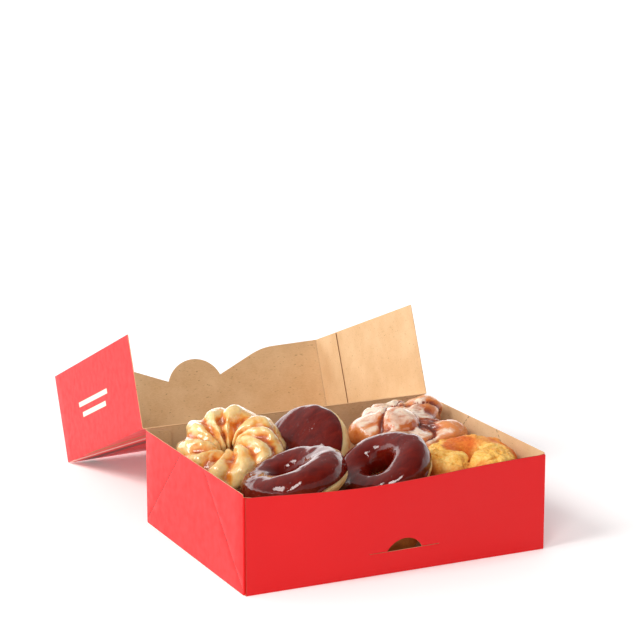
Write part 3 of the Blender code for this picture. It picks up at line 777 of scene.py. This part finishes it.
def hollows(bm, passes):
    """How deep each vertex lies below its smoothed surroundings, in metres."""
    copy = bm.copy()
    for _ in range(passes):
        bmesh.ops.smooth_vert(
            copy, verts=copy.verts, factor=0.8, use_axis_x=True, use_axis_y=True, use_axis_z=True
        )
    copy.verts.ensure_lookup_table()
    bm.verts.ensure_lookup_table()
    bm.normal_update()
    depths = []
    for vert, smoothed in zip(bm.verts, copy.verts):
        depths.append((smoothed.co - vert.co).dot(vert.normal))
    copy.free()
    return depths


def keep_values(thing, name, values):
    """Store one number for each vertex, for the material to read."""
    layer = thing.data.attributes.new(name, "FLOAT", "POINT")
    layer.data.foreach_set("value", values)


def attribute(tree, name):
    """The number that a piece keeps for each vertex, read in its material."""
    made = add_node(tree, "ShaderNodeAttribute", attribute_name=name)
    return made.outputs["Fac"]


def uneven(bm, terms):
    """Push each vertex in or out along its normal by several sizes of noise."""
    bm.normal_update()
    shifts = []
    for vert in bm.verts:
        shift = sum(size * noise.noise(vert.co * scale) for scale, size in terms)
        shifts.append(vert.normal * shift)
    for vert, shift in zip(bm.verts, shifts):
        vert.co += shift


def show_food(node, name, bm, look):
    """A piece of food in place of its solid, on the tray's body."""
    made = show(name, bm, [look])
    made.data.shade_smooth()
    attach(made, "tray")
    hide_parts(node)
    return made


def chocolate_look():
    """Set chocolate: deep brown and glossy, with soft swells and a few pits."""
    made, tree, shader = shader_of("set_chocolate")
    point = place_in(tree)
    streaks = noise_of(tree, place_in(tree, (1, 2.4, 1), (0.2, 0.3, 0.5)), 90, 3, 0.5, 0.8)
    tone = ramp_of(
        tree, spread(tree, streaks, 0.3, 0.7),
        [(0.0, srgb(86, 12, 6)), (0.5, srgb(100, 17, 8)), (1.0, srgb(112, 23, 11))],
    )
    tree.links.new(tone, shader.inputs["Base Color"])
    rough = spread(tree, noise_of(tree, point, 60, 3), 0.35, 0.7, 0.05, 0.10)
    tree.links.new(rough, shader.inputs["Roughness"])
    shader.inputs["Specular IOR Level"].default_value = 0.35
    shader.inputs["Coat Weight"].default_value = 0.15
    shader.inputs["Coat Roughness"].default_value = 0.06
    shader.inputs["Subsurface Weight"].default_value = 0.06
    shader.inputs["Subsurface Radius"].default_value = (0.004, 0.0012, 0.0008)
    shader.inputs["Subsurface Scale"].default_value = 0.4
    swell = bump_of(tree, noise_of(tree, point, 55, 2, 0.5, 0.6), 0.0010, 0.55)
    ripple = bump_of(tree, noise_of(tree, point, 170, 2, 0.45, 0.4), 0.0003, 0.6, swell)
    pits = spread(tree, noise_of(tree, point, 520, 1, 0.3), 0.70, 0.80)
    tree.links.new(bump_of(tree, pits, -0.0002, 0.6, ripple), shader.inputs["Normal"])
    return made


def dough_look():
    """Fried dough: golden brown, paler and drier in the band that stood above the fat."""
    made, tree, shader = shader_of("raised_dough")
    point = place_in(tree)
    cloud = noise_of(tree, point, 70, 4, 0.6)
    pores = noise_of(tree, point, 900, 3, 0.6)
    tone_key = maths(tree, "ADD", attribute(tree, "rim"), maths(tree, "MULTIPLY", cloud, 0.5))
    tone = ramp_of(
        tree, spread(tree, tone_key, 0.15, 1.35),
        [
            (0.0, srgb(252, 226, 172)), (0.35, srgb(246, 202, 134)),
            (0.7, srgb(234, 168, 94)), (1.0, srgb(200, 118, 54)),
        ],
    )
    tone = blend_of(tree, spread(tree, pores, 0.30, 0.45, 0.35, 0.0), tone, srgb(176, 100, 44))
    tree.links.new(tone, shader.inputs["Base Color"])
    shader.inputs["Roughness"].default_value = 0.58
    shader.inputs["Specular IOR Level"].default_value = 0.3
    shader.inputs["Subsurface Weight"].default_value = 0.18
    shader.inputs["Subsurface Radius"].default_value = (0.006, 0.003, 0.0015)
    shader.inputs["Subsurface Scale"].default_value = 0.5
    skin = bump_of(tree, noise_of(tree, point, 260, 4, 0.6), 0.0004, 0.5)
    tree.links.new(bump_of(tree, pores, 0.00012, 0.7, skin), shader.inputs["Normal"])
    return made


CHOCOLATE = chocolate_look()
RAISED_DOUGH = dough_look()

# Noise on a surface: waves in a metre, and how far they move it. Dough and chocolate share theirs.
DOUGH_GRAIN = (420, 0.0002)
SWELLS = ((25, 0.0008), (75, 0.0009), (170, 0.0003))
DOUGH_INSET = 0.0009
COAT_NEAR = 0.004
RIM_FADE = 0.016


def make_dipped(name):
    """One chocolate doughnut: the dough, pressed in a little where the chocolate covers it."""
    coat = refined(name + "_icing", 2)
    uneven(coat, SWELLS)
    tree = KDTree(len(coat.verts))
    for number, vert in enumerate(coat.verts):
        tree.insert(vert.co, number)
    tree.balance()
    body = refined(name + "_dough", 2)
    uneven(body, (*SWELLS, DOUGH_GRAIN))
    body.normal_update()
    reach = [tree.find(vert.co)[2] for vert in body.verts]
    for vert, distance in zip(body.verts, reach):
        vert.co -= vert.normal * DOUGH_INSET * max(1 - distance / COAT_NEAR, 0)
    dough = show_food(name + "_dough", name + "_dough_fried", body, RAISED_DOUGH)
    keep_values(dough, "rim", [min(distance / RIM_FADE, 1.0) for distance in reach])
    show_food(name + "_icing", name + "_chocolate", coat, CHOCOLATE)


for ring in ("ring_left", "ring_middle", "filled"):
    make_dipped(ring)

# The cruller
# A piped ring of egg dough with soft lumps and deep grooves, fried golden and dipped in a thin
# clear sugar glaze with pale sugar patches. Painted light makes the ridges paler, and painted
# shade makes the grooves browner.


def glazed_look():
    """Golden crust under clear glaze with pale sugar patches; painted shade in grooves, light on
    ridges.
    """
    made, tree, shader = shader_of("glazed_cruller")
    point = place_in(tree)
    cloud = noise_of(tree, point, 85, 4, 0.6, 0.4)
    depth = attribute(tree, "hollow")
    patchy = maths(tree, "MULTIPLY", maths(tree, "SUBTRACT", cloud, 0.5), 1.3)
    # Painted shade and light: the hollow depth browns the grooves and pales the ridges
    tone_key = maths(tree, "ADD", depth, patchy)
    tone = ramp_of(
        tree, spread(tree, tone_key, -0.8, 1.4),
        [
            (0.0, srgb(250, 210, 142)), (0.26, srgb(244, 176, 86)), (0.46, srgb(232, 138, 44)),
            (0.70, srgb(206, 96, 22)), (1.0, srgb(144, 56, 10)),
        ],
    )
    sugar = spread(tree, noise_of(tree, point, 150, 5, 0.65, 0.5), 0.52, 0.66, 0.0, 0.5)
    tone = blend_of(tree, sugar, tone, srgb(246, 220, 178))
    tree.links.new(tone, shader.inputs["Base Color"])
    rough = spread(tree, noise_of(tree, point, 190, 3), 0.35, 0.65, 0.16, 0.42)
    tree.links.new(rough, shader.inputs["Roughness"])
    shader.inputs["Coat Weight"].default_value = 1.0
    shader.inputs["Coat Roughness"].default_value = 0.05
    shader.inputs["Subsurface Weight"].default_value = 0.2
    shader.inputs["Subsurface Radius"].default_value = (0.006, 0.003, 0.001)
    shader.inputs["Subsurface Scale"].default_value = 0.5
    skin = bump_of(tree, noise_of(tree, point, 190, 4, 0.6, 0.4), 0.0009, 0.75)
    grain = bump_of(tree, noise_of(tree, point, 700, 2), 0.0001, 0.5, skin)
    tree.links.new(grain, shader.inputs["Normal"])
    return made


def deepen(values, depth):
    """Depths as shares of a full groove, between -1 and 1."""
    return [min(max(value / depth, -1.0), 1.0) for value in values]


CRULLER_LUMPS = ((42, 0.0026), (110, 0.0013), (330, 0.0004))
CRULLER_GROOVE = 0.0007

cruller = refined("cruller", 2)
uneven(cruller, CRULLER_LUMPS)
cruller_depths = deepen(hollows(cruller, 14), CRULLER_GROOVE)
cruller_glazed = show_food("cruller", "cruller_glazed", cruller, glazed_look())
keep_values(cruller_glazed, "hollow", cruller_depths)

# The fritter
# Chunks of sticky dough fried together into one rough cake, with painted shade darkening the
# folds between them, and a milky sugar glaze that has run over the tops and set in thin cracked
# sheets.

# X at which the glaze thins out towards the bare lobe on the right
BARE_LOBE = (0.078, 0.104)


def fritter_look():
    """Brown crust with painted shade in its folds, and milky glaze where it faces up."""
    made, tree, shader = shader_of("glazed_fritter")
    point = place_in(tree)
    cloud = noise_of(tree, point, 75, 4, 0.6, 0.5)
    depth = attribute(tree, "hollow")
    patchy = maths(tree, "MULTIPLY", maths(tree, "SUBTRACT", cloud, 0.5), 1.4)
    # Painted shade and light: the hollow depth darkens the folds and pales the ridges
    tone_key = maths(tree, "ADD", depth, patchy)
    crust = ramp_of(
        tree, spread(tree, tone_key, -0.9, 1.2),
        [
            (0.0, srgb(226, 140, 76)), (0.35, srgb(206, 108, 50)),
            (0.65, srgb(160, 66, 28)), (1.0, srgb(88, 28, 12)),
        ],
    )
    split = tree.nodes.new("ShaderNodeSeparateXYZ")
    facing = tree.nodes.new("ShaderNodeNewGeometry")
    tree.links.new(facing.outputs["Normal"], split.inputs["Vector"])
    upward = spread(tree, split.outputs["Z"], 0.1, 0.8)
    film = noise_of(tree, place_in(tree, (1, 1.8, 1), (0, 0, 0.6)), 42, 5, 0.62, 1.0)
    milk = maths(tree, "ADD", maths(tree, "MULTIPLY", upward, 0.35), film)
    sunk = maths(tree, "MULTIPLY", maths(tree, "MAXIMUM", depth, 0.0), 0.35)
    milk = maths(tree, "SUBTRACT", milk, sunk)
    place = tree.nodes.new("ShaderNodeSeparateXYZ")
    tree.links.new(point, place.inputs["Vector"])
    milk = maths(tree, "SUBTRACT", milk, spread(tree, place.outputs["X"], *BARE_LOBE, 0.0, 0.16))
    veil = spread(tree, milk, 0.70, 0.85, 0.0, 0.88)
    tone = blend_of(tree, veil, crust, srgb(252, 232, 210))
    tree.links.new(tone, shader.inputs["Base Color"])
    rough = spread(tree, noise_of(tree, point, 170, 3), 0.35, 0.65, 0.18, 0.44)
    tree.links.new(rough, shader.inputs["Roughness"])
    shader.inputs["Coat Weight"].default_value = 0.7
    shader.inputs["Coat Roughness"].default_value = 0.12
    shader.inputs["Subsurface Weight"].default_value = 0.12
    shader.inputs["Subsurface Radius"].default_value = (0.005, 0.002, 0.001)
    shader.inputs["Subsurface Scale"].default_value = 0.5
    sheets_edge = bump_of(tree, veil, 0.0005, 0.6)
    wrinkles = noise_of(tree, place_in(tree, (1, 3, 1), (0, 0, -0.9)), 140, 4, 0.6, 0.8)
    tree.links.new(bump_of(tree, wrinkles, 0.0009, 0.6, sheets_edge), shader.inputs["Normal"])
    return made


# Where the noise of folds and crumb starts: without it, each run would bend them another way
CRUST_SEED = 1795890938
noise.seed_set(CRUST_SEED)

# The folds between chunks: how many, how deep and wide, and how they wind
FOLD_SEED = 5
FOLD_COUNT = 3
FOLD_DEPTH = 0.0034
FOLD_WIDTH = 0.0020
FOLD_SPREAD = 0.028
WINDING_WAVES = 55
WINDING_REACH = 0.010
FRITTER_LUMPS = ((38, 0.0018), (95, 0.0009), (240, 0.0003))
FRITTER_GROOVE = 0.0008


def fold_lines(bm):
    """Press winding folds into a crust, each along its own slanting plane."""
    draw = random.Random(FOLD_SEED)
    middle = sum((vert.co for vert in bm.verts), Vector()) / len(bm.verts)
    planes = []
    for _ in range(FOLD_COUNT):
        way = Vector((draw.uniform(-1, 1), draw.uniform(-1, 1), draw.uniform(-0.5, 0.5)))
        where = draw.uniform(-FOLD_SPREAD, FOLD_SPREAD)
        planes.append((way.normalized(), where, draw.uniform(0.6, 1.0)))
    bm.normal_update()
    shifts = []
    for vert in bm.verts:
        away = vert.co - middle
        winding = Vector(noise.noise_vector(vert.co * WINDING_WAVES)) * WINDING_REACH
        deepest = 0.0
        for way, where, share in planes:
            off = (away + winding).dot(way) - where
            deepest = max(deepest, share * math.exp(-((off / FOLD_WIDTH) ** 2)))
        shifts.append(vert.normal * (-FOLD_DEPTH * deepest))
    for vert, shift in zip(bm.verts, shifts):
        vert.co += shift


fritter = refined("fritter", 2)
fold_lines(fritter)
uneven(fritter, FRITTER_LUMPS)
fritter_depths = deepen(hollows(fritter, 12), FRITTER_GROOVE)
fritter_glazed = show_food("fritter", "fritter_glazed", fritter, fritter_look())
keep_values(fritter_glazed, "hollow", fritter_depths)

# The old-fashioned
# A plain cake ring, unglazed. Its crust has split open while frying, so that craggy pale crumb
# stands beside smooth orange-brown skin.


def cake_look():
    """Smooth orange-brown skin, and rough pale crumb where the crust is craggy."""
    made, tree, shader = shader_of("old_fashioned_crust")
    point = place_in(tree)
    crumb = noise_of(tree, point, 420, 5, 0.7)
    cloud = noise_of(tree, point, 60, 4, 0.6)
    craggy = attribute(tree, "craggy")
    fine = maths(tree, "MULTIPLY", crumb, 0.9)
    tone_key = maths(tree, "ADD", fine, maths(tree, "MULTIPLY", cloud, 0.7))
    skin = ramp_of(
        tree, spread(tree, tone_key, 0.5, 1.15),
        [(0.0, srgb(184, 76, 22)), (0.45, srgb(222, 108, 36)), (1.0, srgb(240, 150, 58))],
    )
    inside = ramp_of(
        tree, spread(tree, tone_key, 0.5, 1.15),
        [(0.0, srgb(206, 116, 34)), (0.4, srgb(244, 184, 84)), (1.0, srgb(255, 232, 156))],
    )
    tone = blend_of(tree, craggy, skin, inside)
    tree.links.new(tone, shader.inputs["Base Color"])
    shader.inputs["Roughness"].default_value = 0.66
    shader.inputs["Specular IOR Level"].default_value = 0.3
    shader.inputs["Subsurface Weight"].default_value = 0.15
    shader.inputs["Subsurface Radius"].default_value = (0.005, 0.002, 0.001)
    shader.inputs["Subsurface Scale"].default_value = 0.4
    coarse = bump_of(tree, noise_of(tree, point, 230, 5, 0.7), 0.0009, 0.7)
    tree.links.new(bump_of(tree, crumb, 0.0004, 0.8, coarse), shader.inputs["Normal"])
    return made


# How far below its top the ring splits, and over what height that fades
CRAG_REACH = 0.020
CRAG_FADE = 0.012

# Its crumb: waves in a metre, and how far they move the crust
WARP_WAVES, WARP = 90, 0.002
BLOCK_WAVES, BLOCK = 190, 0.0012
CRUMB_WAVES, CRUMB = 210, 0.0014
LUMP_WAVES, LUMP = 55, 0.0022
CAKE_GRAIN = ((420, 0.0003), (900, 0.00015))


def crag(bm, top):
    """Break the upper crust into coarse crumb. Returns how craggy each vertex is."""
    bm.normal_update()
    shares = []
    shifts = []
    for vert in bm.verts:
        high = min(max((vert.co.z - top + CRAG_REACH) / CRAG_FADE, 0), 1)
        patch = min(max(noise.noise(vert.co * 38 + Vector((3, 1, 7))) * 4 + 0.35, 0), 1)
        share = high * patch
        warped = vert.co + Vector(noise.noise_vector(vert.co * WARP_WAVES)) * WARP
        block = noise.cell(warped * BLOCK_WAVES) * BLOCK
        crumb = noise.noise(vert.co * CRUMB_WAVES) * CRUMB
        lump = noise.noise(vert.co * LUMP_WAVES) * LUMP
        shifts.append(vert.normal * ((block + crumb) * share + lump))
        shares.append(share)
    for vert, shift in zip(bm.verts, shifts):
        vert.co += shift
    return shares


old_fashioned = refined("old_fashioned", 3)
cake_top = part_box("old_fashioned")[1][2]
cake_shares = crag(old_fashioned, cake_top)
uneven(old_fashioned, CAKE_GRAIN)
old_fashioned_fried = show_food(
    "old_fashioned", "old_fashioned_fried", old_fashioned, cake_look()
)
keep_values(old_fashioned_fried, "craggy", cake_shares)

# The lower layer
# Plain filled doughnuts, fried brown and left bare. They lie on the floor of the box and carry the
# six on top, and little more than their crust shows between those.


def plain_look():
    """Even brown crust with fine pores."""
    made, tree, shader = shader_of("plain_crust")
    point = place_in(tree)
    cloud = noise_of(tree, point, 60, 4, 0.6)
    pores = noise_of(tree, point, 700, 3, 0.6)
    tone = ramp_of(
        tree, spread(tree, cloud, 0.3, 0.7),
        [(0.0, srgb(176, 98, 42)), (0.5, srgb(206, 130, 62)), (1.0, srgb(226, 160, 88))],
    )
    tone = blend_of(tree, spread(tree, pores, 0.30, 0.45, 0.35, 0.0), tone, srgb(140, 76, 32))
    tree.links.new(tone, shader.inputs["Base Color"])
    shader.inputs["Roughness"].default_value = 0.55
    shader.inputs["Specular IOR Level"].default_value = 0.3
    skin = bump_of(tree, noise_of(tree, point, 240, 4, 0.6), 0.0005, 0.5)
    tree.links.new(bump_of(tree, pores, 0.00012, 0.7, skin), shader.inputs["Normal"])
    return made


PLAIN_SWELLS = ((60, 0.0006), (170, 0.0004), (420, 0.0002))
PLAIN_CRUST = plain_look()
for number in range(1, 7):
    node = f"lower_doughnut_{number}"
    plain = refined(node, 2)
    uneven(plain, PLAIN_SWELLS)
    show_food(node, node + "_fried", plain, PLAIN_CRUST)

# The table, the light and the camera
# A white table that runs out of sight, a broad soft sun from the left, a weaker lamp in front and a
# studio that is bright behind the box. The camera stands at the photograph's angle.

TABLE_HALF = 40.0
WARM_WHITE = (1.0, 0.985, 0.96)
SUN_FROM = Vector((-0.74, -0.06, 0.66))
SUN_STRENGTH = 1.5
SUN_ANGLE = math.radians(22)
LAMP_AT = Vector((-1.0, -1.3, 1.35))
LAMP_AIM = Vector((0, 0, 0.05))
LAMP_SIDE = 0.5
LAMP_POWER = 13

bm = bmesh.new()
bmesh.ops.create_grid(bm, x_segments=1, y_segments=1, size=TABLE_HALF)
table_look, tree, shader = shader_of("white_table")
shader.inputs["Base Color"].default_value = (0.99, 0.99, 0.99, 1.0)
shader.inputs["Roughness"].default_value = 0.9
shader.inputs["Specular IOR Level"].default_value = 0.1
shader.inputs["Emission Color"].default_value = (1.0, 1.0, 1.0, 1.0)
shader.inputs["Emission Strength"].default_value = 0.16
table = show("table", bm, [table_look])

sun_light = bpy.data.lights.new("sun", "SUN")
sun_light.energy = SUN_STRENGTH
sun_light.angle = SUN_ANGLE
sun_light.color = WARM_WHITE
sun = bpy.data.objects.new("sun", sun_light)
sun.rotation_euler = SUN_FROM.to_track_quat("Z", "Y").to_euler()
scene.collection.objects.link(sun)

lamp_light = bpy.data.lights.new("front_lamp", "AREA")
lamp_light.shape = "SQUARE"
lamp_light.size = LAMP_SIDE
lamp_light.energy = LAMP_POWER
lamp_light.color = WARM_WHITE
lamp = bpy.data.objects.new("front_lamp", lamp_light)
lamp.location = LAMP_AT
lamp.rotation_euler = (LAMP_AIM - LAMP_AT).to_track_quat("-Z", "Y").to_euler()
scene.collection.objects.link(lamp)

world = bpy.data.worlds.new("studio")
scene.world = world
world.use_nodes = True
tree = world.node_tree
coordinates = tree.nodes.new("ShaderNodeTexCoord")
split = tree.nodes.new("ShaderNodeSeparateXYZ")
tree.links.new(coordinates.outputs["Generated"], split.inputs["Vector"])
low_sky = spread(tree, split.outputs["Z"], 0.36, 0.44, 1.45, 0.30)
at_back = spread(tree, split.outputs["Y"], -0.6, 0.5, 0.45, 1.8)
from_left = spread(tree, split.outputs["X"], -0.6, 0.5, 1.2, 0.85)
backdrop = tree.nodes["Background"]
backdrop.inputs["Color"].default_value = (1.0, 1.0, 1.0, 1.0)
brightness = maths(tree, "MULTIPLY", maths(tree, "MULTIPLY", low_sky, at_back), from_left)
tree.links.new(brightness, backdrop.inputs["Strength"])
scene.view_settings.view_transform = "Standard"

CAMERA_AT = (-0.7510, -1.5286, 0.5615)
CAMERA_YAW = math.radians(25.59)
CAMERA_PITCH = math.radians(12.81)
CAMERA_LENS = 126.95
SENSOR_WIDTH = 36
FAR_CLIP = 50
camera_data = bpy.data.cameras.new("camera")
camera_data.lens = CAMERA_LENS
camera_data.sensor_width = SENSOR_WIDTH
camera_data.clip_end = FAR_CLIP
camera = bpy.data.objects.new("camera", camera_data)
camera.location = CAMERA_AT
camera.rotation_euler = (math.pi / 2 - CAMERA_PITCH, 0, -CAMERA_YAW)
scene.collection.objects.link(camera)
scene.camera = camera
